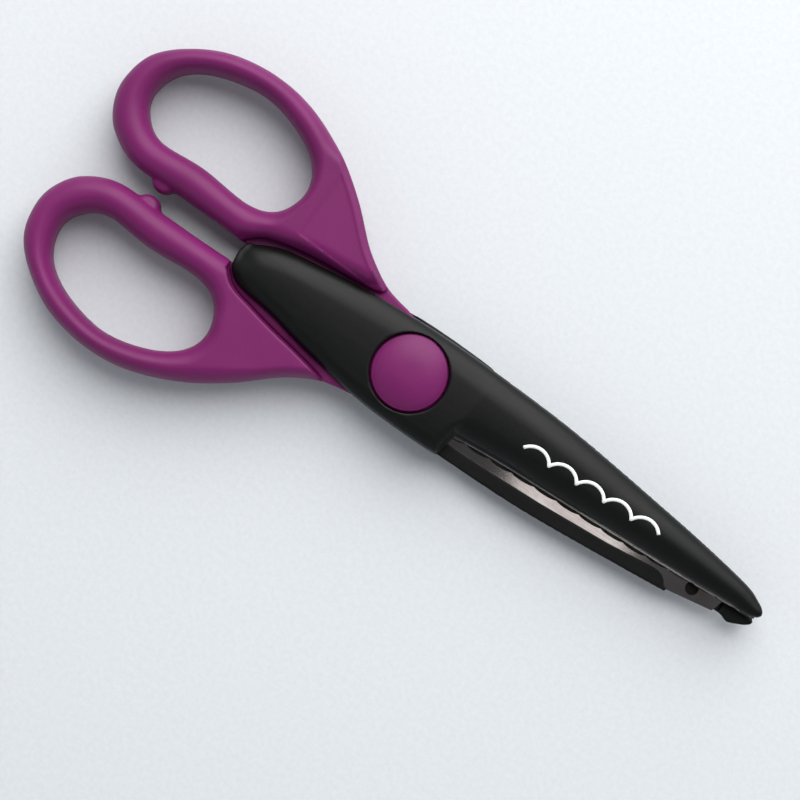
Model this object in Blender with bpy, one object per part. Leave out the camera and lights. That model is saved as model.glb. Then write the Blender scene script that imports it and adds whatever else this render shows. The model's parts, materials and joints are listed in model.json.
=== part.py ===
"""Decorative edge scissors for cutting a scalloped border in paper.

Two near-identical halves are turned 180 degrees about X against each other and meet on a pivot.
Each half is a finger-ring handle, a blade cover, a corrugated steel blade and its fasteners.
Both halves are drawn once, in the front half's own frame: the pivot axis is Z, the tips point
along +X, the mating plane is z = 0 and the outside of the half is +z. All lengths are in
millimetres until a mesh is made. In the finished object the origin is where the pivot axis
meets the flat centre of the rear cap, on which the closed scissors rest.
"""

import math

import bmesh
import bpy
import numpy as np
from mathutils import Vector

MM = 0.001

# Heights over the mating plane, from the blades outwards.
CAP_TOP = 5.9                # flat centre of a pivot cap, which also sets the resting height
HANDLE_TOP = 5.2             # outer face of the rings and webs
WEB_FLOOR = 0.2              # inner face of a handle beside the mating plane
SEAT_TOP = 3.4               # face of the handle that the cover sits on
COVER_SEAT = 3.7             # underside of the cover over the handle
COVER_RECESS = 2.1           # underside of the cover over the steel
LIP_FACE = 0.8               # face of the cover's lip beside the steel
BLADE_FLAT = 1.3             # inner face of the blade's flat margin
BLADE_THICKNESS = 0.5
NEST_GAP = 0.1               # half the play between the two corrugated blades

# Scallops: arcs that bulge to the front and meet in cusps, concentric with the pivot.
SCALLOP_PITCH = 5.2
SCALLOP_DEPTH = 1.45
SCALLOP_STEPS = 4            # rows of points in one scallop
SCALLOP_COLUMNS = 5          # spans across the scalloped zone
FIRST_CUSP = 18.2            # distance of the first cusp from the pivot
SCALLOP_LEAN = 0.24          # how far the cutting edge leans with the scallops, per mm of height
BLADE_END = 84.3
TRANSITION = 0.8             # width of the step between the scallops and the flat margin
LEAST_WIDTH = 0.1            # least width of a strip of the blade, where it narrows to the tip

HANDLE_ROUND = 2.1           # rounding along the edges of rings and webs
ROUND_STEPS = 3

STOP_X = (-64.6, -59.2)      # foot of the stop bump inside each handle
STOP_FACE_X = (-63.5, -60.2)
STOP_FACE_Y = -0.53
STOP_HEIGHT = 3.0

# Pivot: a bolt and nut hold a sleeve, and the halves turn on the sleeve.
BOLT_RADIUS = 1.5
SLEEVE_BORE = 1.8
SLEEVE_RADIUS = 2.5
PIVOT_BORE = 2.62
SLEEVE_END = 3.9
SPACER_RADIUS = 7.0
SPACER_FACE = 1.0
WASHER_RADIUS = 5.5
WASHER_Z = (3.5, 3.9)
SPRING_RADIUS = 5.0
SPRING_Z = 4.25
SPRING_WAVE = 0.12
SPRING_WAVES = 3
SPRING_THICKNESS = 0.2
NUT_ACROSS_CORNERS = 9.2
NUT_Z = (4.6, 5.2)
BOLT_HEAD_RADIUS = 4.6
BOLT_HEAD_Z = (4.1, 5.2)
CAP_RADIUS = 7.65
CAP_HOLE = 8.05
CAP_FLAT = 3.0
CAP_SHOULDER = 4.75
CAP_FOOT = 3.55
CAP_CAVITY_RADIUS = 6.3
CAP_CAVITY_TOP = 5.35
TANG_RADIUS = 8.2
TANG_POCKET_RADIUS = 8.7

# Fasteners: position in the half, and sizes.
RIVETS = {"tang": (15.1, 1.0), "tip": (71.2, 2.5)}
RIVET_HEAD = 1.4
RIVET_SHANK = 0.8
RIVET_HEAD_Z = (0.95, 1.2)
RIVET_END = 2.8
SCREWS = {"tail": (-33.0, -1.0), "middle": (-19.5, -1.5)}
SCREW_HEAD = 2.0
SCREW_SHANK = 1.0
SCREW_HEAD_Z = (0.6, 1.6)
SCREW_END = 4.2
FIT = 0.3                    # clearance round pins and in pockets
TIP_GAP = 1.1                # slot between the end of the steel and the cover's tip

ROUND_SEGMENTS = 24
SMALL_SEGMENTS = 12

# Outlines in the front half: its ring lies on -y and its cover's spine on +y.
FINGER_HOLE = [
    (-73.8, -16.7), (-71.4, -22.6), (-65.0, -26.6), (-55.2, -28.5), (-46.0, -26.4),
    (-39.6, -22.3), (-37.5, -16.9), (-40.0, -11.2), (-45.8, -8.9), (-57.0, -9.6),
    (-67.0, -9.1), (-72.0, -12.0),
]
RING_AND_WEB = [
    (-80.3, -15.3), (-78.6, -22.0), (-73.2, -27.4), (-65.5, -31.5), (-56.0, -33.1),
    (-46.5, -32.0), (-36.5, -27.9), (-28.2, -22.3), (-20.6, -15.6), (-14.0, -12.0),
    (-9.5, -9.0), (-11.5, -3.5), (-19.0, 0.5), (-30.0, 1.0), (-38.0, -0.6),
    (-45.0, -2.1), (-57.0, -2.4), (-68.7, -2.3), (-75.6, -5.3), (-79.2, -9.9),
]
TONGUE_OUTER = [(-42.0, -1.0), (-40.4, 2.4), (-33.0, 6.2), (-22.0, 7.8), (-6.0, 9.0), (13.3, 9.0)]
TONGUE_INNER = [(13.3, -5.4), (12.0, -8.9), (0.0, -9.4), (-6.0, -9.6), (-9.5, -10.2), (-13.0, -10.8)]
TONGUE_ROOT = [(-26.0, -14.0), (-38.0, -9.0)]
TONGUE_POCKET = [
    (-50.0, -20.0), (-5.6, -20.0), (-5.6, -9.9), (0.0, -9.7), (12.3, -9.2), (13.6, -5.3),
    (13.6, 9.3), (-5.6, 9.3), (-5.6, 20.0), (-50.0, 20.0),
]
COVER_SPINE = [
    (-41.7, 0.2), (-40.9, 3.2), (-37.5, 5.6), (-30.0, 7.3), (-12.0, 9.3), (2.0, 10.05),
    (14.0, 10.1), (32.0, 9.6), (50.0, 8.1), (66.0, 6.35), (79.0, 4.4), (83.6, 2.7), (85.5, 1.0),
]
COVER_TAIL_INNER = [
    (-41.7, 0.2), (-40.9, -2.9), (-37.6, -5.3), (-29.0, -6.4), (-17.0, -8.6), (-6.0, -10.2),
    (3.0, -10.5), (12.8, -9.9),
]
COVER_BLADE_INNER = [(14.0, -5.0), (26.0, -3.8), (46.0, -2.8), (66.0, -1.5), (79.6, -0.5)]
COVER_TIP_INNER = [(80.2, -0.75), (83.2, -0.55), (85.5, 0.7)]
CROWN = [(-42.0, 4.7), (-30.0, 5.0), (26.0, 5.0), (60.0, 4.3), (86.0, 3.3)]
CROWN_DROP = 1.1             # from the crown of the cover to the top of its side wall
CROWN_ROUND = 2.6            # width of the rounded shoulder beside the crown

CUTTING_EDGE = [
    (13.0, -5.9), (30.0, -4.85), (45.0, -3.95), (57.0, -3.1), (66.0, -2.1), (74.0, -1.4),
    (85.0, -0.25),
]
SCALLOP_LIMIT = [
    (13.0, 5.2), (30.0, 4.3), (45.0, 3.4), (57.0, 2.4), (66.0, 0.8), (71.0, 0.2), (75.0, 0.1), (85.0, -0.1),
]
STEEL_SPINE = [
    (13.0, 7.05), (20.0, 6.9), (36.0, 6.0), (52.0, 4.7), (63.7, 3.3), (66.5, 5.5), (77.0, 4.2),
    (77.4, 1.15), (85.0, 0.45),
]

# Where the other half's tail passes under the web, and where this half's own cover is seated.
TAIL_CLEARANCE = [
    (-43.2, 9.0), (-42.9, -1.6), (-41.6, -4.6), (-38.6, -6.4), (-30.0, -8.2), (-20.0, -9.5),
    (-14.0, -10.5), (-10.0, -13.5), (16.0, -13.5), (16.0, 12.0),
]
COVER_SEAT_OUTLINE = [
    (-43.0, 9.0), (-42.7, -2.2), (-40.6, -5.8), (-37.8, -7.2), (-28.0, -9.0), (-19.0, -10.6),
    (-13.5, -11.6), (-10.0, -14.0), (16.0, -14.0), (16.0, 12.0),
]


def clear_scene():
    for obj in list(bpy.data.objects):
        bpy.data.objects.remove(obj, do_unlink=True)


def make_material(name, colour, roughness, metallic):
    material = bpy.data.materials.new(name)
    material.use_nodes = True
    shader = material.node_tree.nodes["Principled BSDF"]
    shader.inputs["Base Color"].default_value = (*colour, 1.0)
    shader.inputs["Roughness"].default_value = roughness
    shader.inputs["Metallic"].default_value = metallic
    return material


# ---------------------------------------------------------------- curves

def spline(points, steps, closed=False):
    """Points along a smooth (Catmull-Rom) curve through the given points."""
    count = len(points)
    spans = count if closed else count - 1

    def control(i):
        if closed:
            return Vector(points[i % count])
        return Vector(points[min(max(i, 0), count - 1)])

    curve = []
    for i in range(spans):
        before, start, end, after = (control(i + k) for k in (-1, 0, 1, 2))
        for k in range(steps):
            t = k / steps
            pull = (end - before) * t + (2 * before - 5 * start + 4 * end - after) * t ** 2
            pull += (3 * start - before - 3 * end + after) * t ** 3
            curve.append(tuple(start + pull / 2))
    if not closed:
        curve.append(tuple(points[-1]))
    return curve


def height_along(line, x):
    """Second coordinate of a polyline at x."""
    return float(np.interp(x, [p[0] for p in line], [p[1] for p in line]))


def circle(radius, centre=(0.0, 0.0), segments=ROUND_SEGMENTS):
    turn = [2 * math.pi * k / segments for k in range(segments)]
    return [(centre[0] + radius * math.cos(a), centre[1] + radius * math.sin(a)) for a in turn]


def signed_area(loop):
    pairs = zip(loop, loop[1:] + loop[:1])
    return sum(a[0] * b[1] - b[0] * a[1] for a, b in pairs) / 2


def inset(loop, distance):
    """Moves a counter-clockwise loop inwards along its own normals."""
    moved = []
    for before, point, after in zip(loop[-1:] + loop[:-1], loop, loop[1:] + loop[:1]):
        along = (Vector(after) - Vector(before)).normalized()
        moved.append((point[0] - along.y * distance, point[1] + along.x * distance))
    return moved


def hull_to_edge(radius, low, high):
    """A round plate about the pivot whose straight sides run out to two points."""
    arc = []
    for point, side in ((low, -1), (high, 1)):
        distance = math.hypot(*point)
        arc.append(math.atan2(point[1], point[0]) + side * math.acos(radius / distance))
    start, end = arc[1], arc[0] + 2 * math.pi
    turn = [start + (end - start) * k / ROUND_SEGMENTS for k in range(ROUND_SEGMENTS + 1)]
    return [low, high] + [(radius * math.cos(a), radius * math.sin(a)) for a in turn]


# ---------------------------------------------------------------- solids

def finish(name, bm, material, parent):
    """Turns a bmesh in millimetres into a named object under the half it belongs to."""
    bmesh.ops.scale(bm, vec=(MM, MM, MM), verts=bm.verts)
    bmesh.ops.recalc_face_normals(bm, faces=bm.faces)
    mesh = bpy.data.meshes.new(name)
    bm.to_mesh(mesh)
    bm.free()
    mesh.shade_smooth()
    mesh.set_sharp_from_angle(angle=math.radians(35))
    if material:
        mesh.materials.append(material)
    obj = bpy.data.objects.new(name, mesh)
    bpy.context.collection.objects.link(obj)
    obj.parent = parent
    return obj


def stack(loops, holes=()):
    """Closed skin through a stack of equal-length loops; holes are stacks of their own."""
    bm = bmesh.new()
    ends = ([], [])
    for levels in (loops, *holes):
        rings = [[bm.verts.new(point) for point in level] for level in levels]
        for low, high in zip(rings, rings[1:]):
            for k in range(len(low)):
                j = (k + 1) % len(low)
                bm.faces.new((low[k], low[j], high[j], high[k]))
        ends[0].append(rings[0])
        ends[1].append(rings[-1])
    for rings in ends:
        if len(rings) == 1:
            bm.faces.new(rings[0])
            continue
        rims = [e for ring in rings for e in edges_round(ring)]
        bmesh.ops.triangle_fill(bm, edges=rims, use_beauty=True)
    return bm


def edges_round(ring):
    pairs = zip(ring, ring[1:] + ring[:1])
    return [next(e for e in a.link_edges if b in e.verts) for a, b in pairs]


def prism(outline, low, high):
    """An upright plate with the given outline."""
    loop = outline if signed_area(outline) > 0 else outline[::-1]
    return stack([[(x, y, z) for x, y in loop] for z in (low, high)])


def rounded_slab(outline, hole, half_height, radius):
    """A plate whose outer and inner edges are rounded on both faces."""
    levels = []
    for k in range(ROUND_STEPS + 1):
        turn = math.pi / 2 * k / ROUND_STEPS
        levels.append((radius * (1 - math.sin(turn)), half_height - radius * (1 - math.cos(turn))))
    levels = [(d, -z) for d, z in levels] + [(d, z) for d, z in reversed(levels)]
    outer = outline if signed_area(outline) > 0 else outline[::-1]
    inner = hole if signed_area(hole) > 0 else hole[::-1]
    skins = []
    for loop, side in ((outer, 1), (inner, -1)):
        skins.append([[(x, y, z) for x, y in inset(loop, side * d)] for d, z in levels])
    return stack(skins[0], holes=skins[1:])


def turned(profile, segments=ROUND_SEGMENTS):
    """A solid of revolution about Z from a closed (radius, height) profile."""
    bm = bmesh.new()
    verts = [bm.verts.new((radius, 0.0, z)) for radius, z in profile]
    edges = [bm.edges.new(pair) for pair in zip(verts, verts[1:] + verts[:1])]
    bmesh.ops.spin(bm, geom=verts + edges, cent=(0, 0, 0), axis=(0, 0, 1),
                   angle=2 * math.pi, steps=segments, use_merge=True)
    bmesh.ops.remove_doubles(bm, verts=bm.verts, dist=1e-4)
    bmesh.ops.dissolve_degenerate(bm, edges=bm.edges, dist=1e-4)
    return bm


def move(bm, x, y):
    bmesh.ops.translate(bm, vec=(x, y, 0), verts=bm.verts)
    return bm


def combine(target, bm, operation):
    """Adds or removes a shape with a Boolean whose other operand stays hidden."""
    tool = finish(f"{target.name}_tool", bm, None, target.parent)
    tool.hide_render = True
    tool.display_type = "WIRE"
    tool.hide_set(True)
    boolean = target.modifiers.new(tool.name, "BOOLEAN")
    boolean.operation = operation
    boolean.solver = "EXACT"
    boolean.object = tool


# ---------------------------------------------------------------- a half's pieces

def handle(name, material, half):
    """Finger ring and web, with the tongue that carries the cover out to the pivot."""
    margin = 0.1
    ring = rounded_slab(spline(RING_AND_WEB, 3, closed=True), spline(FINGER_HOLE, 3, closed=True),
                        HANDLE_TOP, HANDLE_ROUND)
    body = finish(name, ring, material, half)
    tongue = spline(TONGUE_OUTER, 2) + TONGUE_INNER + TONGUE_ROOT
    combine(body, prism(tongue, WEB_FLOOR - margin, SEAT_TOP + margin), "UNION")
    stop = [(STOP_X[0], -4.0), (STOP_X[1], -4.0), (STOP_X[1], -2.0), (STOP_FACE_X[1], STOP_FACE_Y),
            (STOP_FACE_X[0], STOP_FACE_Y), (STOP_X[0], -2.0)]
    combine(body, prism(stop, -STOP_HEIGHT, STOP_HEIGHT), "UNION")
    combine(body, prism(COVER_SEAT_OUTLINE, SEAT_TOP, HANDLE_TOP + 2), "DIFFERENCE")
    combine(body, prism(TAIL_CLEARANCE, -HANDLE_TOP - 2, WEB_FLOOR), "DIFFERENCE")
    combine(body, tang_plate(TANG_POCKET_RADIUS, 1.0, -1.0, COVER_RECESS), "DIFFERENCE")
    combine(body, prism(circle(PIVOT_BORE), -1.0, HANDLE_TOP), "DIFFERENCE")
    for x, y in SCREWS.values():
        combine(body, fastener_hole(x, y, SCREW_HEAD, SCREW_SHANK, SCREW_HEAD_Z[1]), "DIFFERENCE")
    return body


def tang_plate(radius, spread, low, high):
    """Round root of the steel blade, widening towards the blade by the given spread."""
    reach = 17.0 + 2 * spread
    outline = hull_to_edge(radius, (reach, -5.1 - spread), (reach, 6.6 + spread))
    return prism(outline, low, high)


def fastener_hole(x, y, head, shank, shoulder):
    """Stepped hole: clearance for a head up to the shoulder, and for its shank beyond."""
    profile = [(0, -1.0), (head + FIT, -1.0), (head + FIT, shoulder + FIT),
               (shank + FIT, shoulder + FIT), (shank + FIT, HANDLE_TOP), (0, HANDLE_TOP)]
    return move(turned(profile, SMALL_SEGMENTS), x, y)


def cover_outline():
    """Lower and upper edge of the cover as polylines over x."""
    inner = spline(COVER_TAIL_INNER, 3) + spline(COVER_BLADE_INNER, 2) + COVER_TIP_INNER
    return inner, spline(COVER_SPINE, 3)


def blade_cover(name, material, half):
    """Crowned cover over tongue and steel, with a lip that frames the steel's margin."""
    inner, spine = cover_outline()
    stations = sorted({round(p[0], 3) for p in inner + spine})
    across = 7
    rows = []
    for x in stations[1:-1]:
        low, high = height_along(inner, x), height_along(spine, x)
        crown = height_along(CROWN, x)
        row = []
        for k in range(across):
            share = (1 - math.cos(math.pi * k / (across - 1))) / 2
            y = low + (high - low) * share
            edge = min(y - low, high - y)
            rise = min(1 - min(edge / min(CROWN_ROUND, (high - low) / 2), 1), 1)
            row.append((x, y, crown - CROWN_DROP * (1 - math.sqrt(1 - rise ** 2))))
        rows.append(row + [(x, high, LIP_FACE), (x, low, LIP_FACE)])
    bm = stack(rows)
    cover = finish(name, bm, material, half)
    combine(cover, prism(TONGUE_POCKET, -2.0, COVER_SEAT), "DIFFERENCE")
    combine(cover, prism(steel_recess(), -2.0, COVER_RECESS), "DIFFERENCE")
    combine(cover, prism(circle(CAP_HOLE), 0.0, HANDLE_TOP + 2), "DIFFERENCE")
    for x, y in RIVETS.values():
        bore = prism(circle(RIVET_SHANK + FIT, (x, y), SMALL_SEGMENTS), 0.0, RIVET_END + FIT)
        combine(cover, bore, "DIFFERENCE")
    for x, y in SCREWS.values():
        bore = prism(circle(SCREW_SHANK + FIT, (x, y), SMALL_SEGMENTS), 0.0, SCREW_END + FIT)
        combine(cover, bore, "DIFFERENCE")
    return cover


def steel_recess():
    """The steel's outline with clearance, open on the cutting side."""
    shift = [0, 0, 0, 0, -FIT, -FIT, TIP_GAP, TIP_GAP, 0]
    spine = [(x + dx, y + FIT) for (x, y), dx in zip(STEEL_SPINE, shift)]
    return [(13.0, -6.4), (14.2, -6.4), (14.2, -14.0), (92.0, -14.0), (92.0, 0.8)] + spine[::-1][1:]


def scallop(radius):
    """Height of the scallops at a distance from the pivot."""
    arc = (SCALLOP_PITCH ** 2 / 4 + SCALLOP_DEPTH ** 2) / (2 * SCALLOP_DEPTH)
    offset = (radius - FIRST_CUSP) % SCALLOP_PITCH - SCALLOP_PITCH / 2
    return math.sqrt(arc ** 2 - offset ** 2) - arc + SCALLOP_DEPTH / 2


def on_arc(line, radius):
    """Where a polyline crosses the circle of that radius about the pivot."""
    y = 0.0
    for _ in range(12):
        y = height_along(line, math.sqrt(max(radius ** 2 - y ** 2, 0)))
    return y


def steel_blade(name, material, half, side):
    """Corrugated sheet; side is 1 for the front blade and -1 for the rear one."""
    step = SCALLOP_PITCH / SCALLOP_STEPS
    count = int((BLADE_END - FIRST_CUSP) / step)
    radii = [14.6, 15.6, 16.6] + [FIRST_CUSP + step * k for k in range(count + 1)]
    rows = []
    for radius in radii:
        wave = side * scallop(radius) + NEST_GAP if radius >= FIRST_CUSP else BLADE_FLAT
        edge = on_arc(CUTTING_EDGE, radius) + SCALLOP_LEAN * (wave if radius >= FIRST_CUSP else 0)
        limit, spine = on_arc(SCALLOP_LIMIT, radius), on_arc(STEEL_SPINE, radius)
        ys = [edge + (limit - edge) * k / SCALLOP_COLUMNS for k in range(SCALLOP_COLUMNS + 1)]
        heights = [wave] * len(ys) + [BLADE_FLAT, BLADE_FLAT]
        ys += [limit + TRANSITION, spine]
        ys = [min(y, spine - LEAST_WIDTH * (len(ys) - 1 - k)) for k, y in enumerate(ys)]
        face = [(math.sqrt(radius ** 2 - y ** 2), y, z) for y, z in zip(ys, heights)]
        back = [(x, y, z + BLADE_THICKNESS) for x, y, z in reversed(face)]
        rows.append(face + back)
    blade = finish(name, stack(rows), material, half)
    combine(blade, tang_plate(TANG_RADIUS, 0.0, BLADE_FLAT - 0.05, BLADE_FLAT + 0.55), "UNION")
    combine(blade, prism(circle(PIVOT_BORE), -1.0, 4.0), "DIFFERENCE")
    for x, y in RIVETS.values():
        bore = prism(circle(RIVET_SHANK + FIT, (x, y), SMALL_SEGMENTS), -2.0, 4.0)
        combine(blade, bore, "DIFFERENCE")
    return blade


def pivot_cap(name, material, half):
    """Low dome that snaps into the cover's round hole, hollow over the pivot's hardware."""
    dome = []
    steps = 4
    for k in range(steps + 1):
        turn = math.pi / 2 * k / steps
        radius = CAP_FLAT + (CAP_RADIUS - CAP_FLAT) * math.sin(turn)
        dome.append((radius, CAP_SHOULDER + (CAP_TOP - CAP_SHOULDER) * math.cos(turn)))
    profile = [(0, CAP_TOP)] + dome + [
        (CAP_RADIUS, CAP_FOOT), (CAP_CAVITY_RADIUS, CAP_FOOT),
        (CAP_CAVITY_RADIUS, CAP_SHOULDER), (CAP_CAVITY_RADIUS - 0.8, CAP_CAVITY_TOP),
        (0, CAP_CAVITY_TOP)]
    return finish(name, turned(profile), material, half)


def headed_pin(name, material, half, place, head, shank, head_z, end):
    profile = [(0, head_z[0]), (head, head_z[0]), (head, head_z[1]), (shank, head_z[1]),
               (shank, end), (0, end)]
    return finish(name, move(turned(profile, SMALL_SEGMENTS), *place), material, half)


def ring_piece(name, material, half, inner, outer, low, high):
    profile = [(inner, low), (outer, low), (outer, high), (inner, high)]
    return finish(name, turned(profile), material, half)


def wave_spring(name, material, half):
    """Thin washer bent into waves, which keeps the blades pressed together."""
    rows = []
    for k in range(ROUND_SEGMENTS):
        turn = 2 * math.pi * k / ROUND_SEGMENTS
        middle = SPRING_Z + SPRING_WAVE * math.cos(SPRING_WAVES * turn)
        low, high = middle - SPRING_THICKNESS / 2, middle + SPRING_THICKNESS / 2
        corners = [(SLEEVE_BORE, low), (SPRING_RADIUS, low), (SPRING_RADIUS, high),
                   (SLEEVE_BORE, high)]
        rows.append([(r * math.cos(turn), r * math.sin(turn), z) for r, z in corners])
    bm = bmesh.new()
    rings = [[bm.verts.new(point) for point in row] for row in rows]
    for here, there in zip(rings, rings[1:] + rings[:1]):
        for k in range(4):
            j = (k + 1) % 4
            bm.faces.new((here[k], here[j], there[j], there[k]))
    return finish(name, bm, material, half)


def pivot_hardware(steel, nylon, front, rear):
    """Bolt, sleeve, washers and nut on the pivot axis."""
    headed_pin("pivot_bolt", steel, rear, (0, 0), BOLT_HEAD_RADIUS, BOLT_RADIUS,
               (-BOLT_HEAD_Z[1], -BOLT_HEAD_Z[0]), NUT_Z[1])
    ring_piece("pivot_sleeve", steel, rear, SLEEVE_BORE, SLEEVE_RADIUS, -SLEEVE_END, SLEEVE_END)
    ring_piece("pivot_spacer", nylon, rear, PIVOT_BORE, SPACER_RADIUS, -SPACER_FACE, SPACER_FACE)
    ring_piece("front_washer", steel, front, PIVOT_BORE, WASHER_RADIUS, *WASHER_Z)
    ring_piece("rear_washer", steel, rear, PIVOT_BORE, WASHER_RADIUS, -WASHER_Z[1], -WASHER_Z[0])
    wave_spring("pivot_wave_spring", steel, front)
    nut = prism(circle(NUT_ACROSS_CORNERS / 2, segments=6), *NUT_Z)
    nut = finish("pivot_nut", nut, steel, front)
    combine(nut, prism(circle(SLEEVE_BORE), 0.0, 8.0), "DIFFERENCE")


def half_frame(name, flip):
    """Empty on the pivot axis in the mating plane; the rear half's is turned over about X."""
    empty = bpy.data.objects.new(name, None)
    bpy.context.collection.objects.link(empty)
    empty.location = (0, 0, CAP_TOP * MM)
    empty.rotation_euler = (math.pi if flip else 0, 0, 0)
    return empty


def build():
    clear_scene()
    purple = make_material("purple_plastic", (0.25, 0.03, 0.17), 0.38, 0.0)
    black = make_material("black_plastic", (0.022, 0.025, 0.024), 0.5, 0.0)
    steel = make_material("blade_steel", (0.55, 0.55, 0.54), 0.25, 1.0)
    zinc = make_material("zinc_steel", (0.42, 0.42, 0.41), 0.4, 1.0)
    nylon = make_material("white_nylon", (0.7, 0.7, 0.68), 0.5, 0.0)
    front = half_frame("front_half_axis", False)
    rear = half_frame("rear_half_axis", True)
    for end, half, side in (("front", front, 1), ("rear", rear, -1)):
        handle(f"{end}_handle", purple, half)
        blade_cover(f"{end}_blade_cover", black, half)
        steel_blade(f"{end}_blade", steel, half, side)
        pivot_cap(f"{end}_pivot_cap", purple, half)
        for spot, place in RIVETS.items():
            headed_pin(f"{end}_{spot}_rivet", zinc, half, place, RIVET_HEAD, RIVET_SHANK,
                       RIVET_HEAD_Z, RIVET_END)
        for spot, place in SCREWS.items():
            headed_pin(f"{end}_{spot}_screw", zinc, half, place, SCREW_HEAD, SCREW_SHANK,
                       SCREW_HEAD_Z, SCREW_END)
    mid_plane = half_frame("pivot_axis", False)
    pivot_hardware(zinc, nylon, mid_plane, mid_plane)


build()
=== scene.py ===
"""Looks of the decorative edge scissors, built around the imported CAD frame.

Both halves are drawn once, in the front half's own frame: the pivot axis is Z, the tips point
along +X, the mating plane is z = 0 and the outside of the half is +z. The rear half is the same
shape turned over about X. Lengths are millimetres until a mesh is placed. The mouldings and the
screws are solid distance fields meshed by surface nets, which gives every edge its fillet; the
blades are swept along the cut, and the caps and rivets are turned. The pivot's inner pieces are
the CAD nodes themselves.
"""

import json
import math

import bmesh
import bpy
import numpy as np
from mathutils import Matrix, Vector


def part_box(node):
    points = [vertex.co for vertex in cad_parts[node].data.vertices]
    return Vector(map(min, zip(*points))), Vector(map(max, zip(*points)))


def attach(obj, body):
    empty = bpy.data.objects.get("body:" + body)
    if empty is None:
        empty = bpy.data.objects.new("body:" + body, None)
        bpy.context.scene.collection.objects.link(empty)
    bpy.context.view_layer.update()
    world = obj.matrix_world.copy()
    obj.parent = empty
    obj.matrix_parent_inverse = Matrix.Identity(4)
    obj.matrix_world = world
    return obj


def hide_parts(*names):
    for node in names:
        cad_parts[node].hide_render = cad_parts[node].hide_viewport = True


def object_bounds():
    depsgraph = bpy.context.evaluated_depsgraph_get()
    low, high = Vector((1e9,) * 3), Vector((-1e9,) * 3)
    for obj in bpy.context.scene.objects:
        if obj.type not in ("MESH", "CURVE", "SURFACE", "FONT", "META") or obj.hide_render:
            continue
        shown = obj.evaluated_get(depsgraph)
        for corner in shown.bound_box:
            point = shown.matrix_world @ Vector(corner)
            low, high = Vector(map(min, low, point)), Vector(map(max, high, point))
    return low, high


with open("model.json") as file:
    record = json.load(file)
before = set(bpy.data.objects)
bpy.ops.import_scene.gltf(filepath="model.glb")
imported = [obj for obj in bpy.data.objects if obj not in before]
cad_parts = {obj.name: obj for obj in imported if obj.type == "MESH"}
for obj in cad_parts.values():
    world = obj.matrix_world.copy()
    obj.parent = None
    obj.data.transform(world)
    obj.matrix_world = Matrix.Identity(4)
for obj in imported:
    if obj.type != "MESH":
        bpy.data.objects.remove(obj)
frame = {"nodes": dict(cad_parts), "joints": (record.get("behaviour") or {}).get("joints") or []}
cad_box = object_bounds()

MM = 0.001
MID = Vector(frame["joints"][0]["pos_m"])     # the pivot in the mating plane

# Cells of the distance fields.
HANDLE_CELL = 0.2
COVER_CELL = 0.16
SCREW_CELL = 0.08

# Heights over the mating plane.
CAP_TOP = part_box("front_pivot_cap")[1].z / MM - MID.z / MM
HANDLE_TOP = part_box("front_handle")[1].z / MM - MID.z / MM
WEB_FLOOR = 0.2
UNDER_COVER = 2.0
COVER_RECESS = 2.1
LIP_FACE = 0.8
BLADE_FLAT = 1.3
BLADE_THICKNESS = 0.5
NEST_GAP = 0.1
TANG_Z = (1.25, 1.85)
BELOW, ABOVE = -9.0, 9.0        # ends of the cutters that go right through a piece
COVER_BELOW = -2.0              # lower end of the cutters that hollow a cover
MERGE = 1e-4                    # points nearer than this become one

# Scallops of the blades, concentric with the pivot.
SCALLOP_PITCH = 5.2
SCALLOP_DEPTH = 1.45
FIRST_CUSP = 18.2
BLADE_START = 14.6
BLADE_END = 84.3
SCALLOP_STEPS = 16              # mesh rows in one pitch
INNER_STEPS = 24                # mesh columns from the edge to the end of the scallops
TRANSITION_STEPS = 6            # mesh columns where the scallops run out
TRANSITION = 0.6
LEAN = 0.24                     # how far the edge leans with the wave
EDGE_SETBACK = 0.3
LAND_OVERHANG = 0.1             # bright land that shows past the cover's rim
LEAST_BEVEL = 0.2
LAND_FADE = (79.5, 81.0)        # radii between which the land slips under the cover
LAND_CHAMFER = (0.08, 0.12)

# Handle.
RING_ROUND = 3.5                # width of the rounding across the ring
WEB_THINNING = 1.3              # how much less it is across the web
LEAST_ROUND = 0.6
ROUND_HEIGHT = 4.3
BACK_ROUND = 0.8                # rounding of the web's flat back
BACK_SINK = 3.5
CREASE = 1.1                    # crease along the back's outer edge
CREASE_SLOPE = 1.5
CREASE_RIDGE = 0.17
WEB_END = -17.5                 # where the back starts to fall to its end
WEB_END_SLOPE = 0.9
STOP_ROOT = (-61.85, -2.4)
STOP_FACE_Y = -0.6
STOP_HALF = (2.6, 2.7)
STOP_DEPTH = 3.0                # how deep the bump's foot goes into the ring
SEAM_DEPTH = 0.75               # groove in the handle along the cover's rim
SEAM_PLACE = 0.17
SEAM_WIDTH = 0.28
WALL_ROUND = (0.35, 2.7)        # rounding of the wall beside the other half's cover

# Cover.
SPINE_DROP = 2.9                # fall of the top to the spine's edge
TAIL_DROP = 1.1                 # what it gains towards the tail
INNER_DROP = 1.7
BOW_DROP = 0.6
SPINE_WIDTH = 5.6
RIM_FILLET = 0.7

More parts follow.
